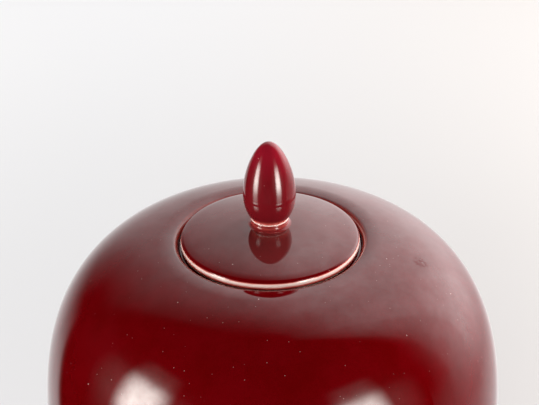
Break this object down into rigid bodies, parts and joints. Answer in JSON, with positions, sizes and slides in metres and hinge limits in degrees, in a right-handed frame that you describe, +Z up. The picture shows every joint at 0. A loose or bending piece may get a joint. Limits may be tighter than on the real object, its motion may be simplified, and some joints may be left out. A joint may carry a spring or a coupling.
{
  "type": "lidded ginger jar",
  "caption": "Round melon-shaped glazed jar with a domed disc lid sunk into its mouth and an egg-shaped knob; the lid lifts off.",
  "frame": {"origin": "centre of the foot ring's resting plane", "axes": "+Z up along the jar's axis of revolution; X and Y are equal, because the jar is round"},
  "size_m": [0.24, 0.24, 0.2892],
  "materials": {
    "jar_glaze": "high-gloss deep oxblood red glaze, slightly mottled, thin and pinkish on the lip; pale glazed inside and bare foot ring",
    "lid_glaze": "high-gloss deep oxblood red glaze, thin and near white on the rounded edge",
    "knob_glaze": "high-gloss oxblood red glaze, thin and pink on the edge over the groove",
    "bare_porcelain": "unglazed off-white fired porcelain, fine matt grain"
  },
  "bodies": {
    "jar": {"jar_body": "jar_glaze"},
    "lid": {"lid_plate": "lid_glaze", "lid_flange": "bare_porcelain", "finial": "knob_glaze"}
  },
  "joints": [
    {"name": "lid_lift", "type": "slide", "parent": "jar", "child": "lid", "axis": [0, 0, 1], "range_m": [0, 0.15]}
  ]
}
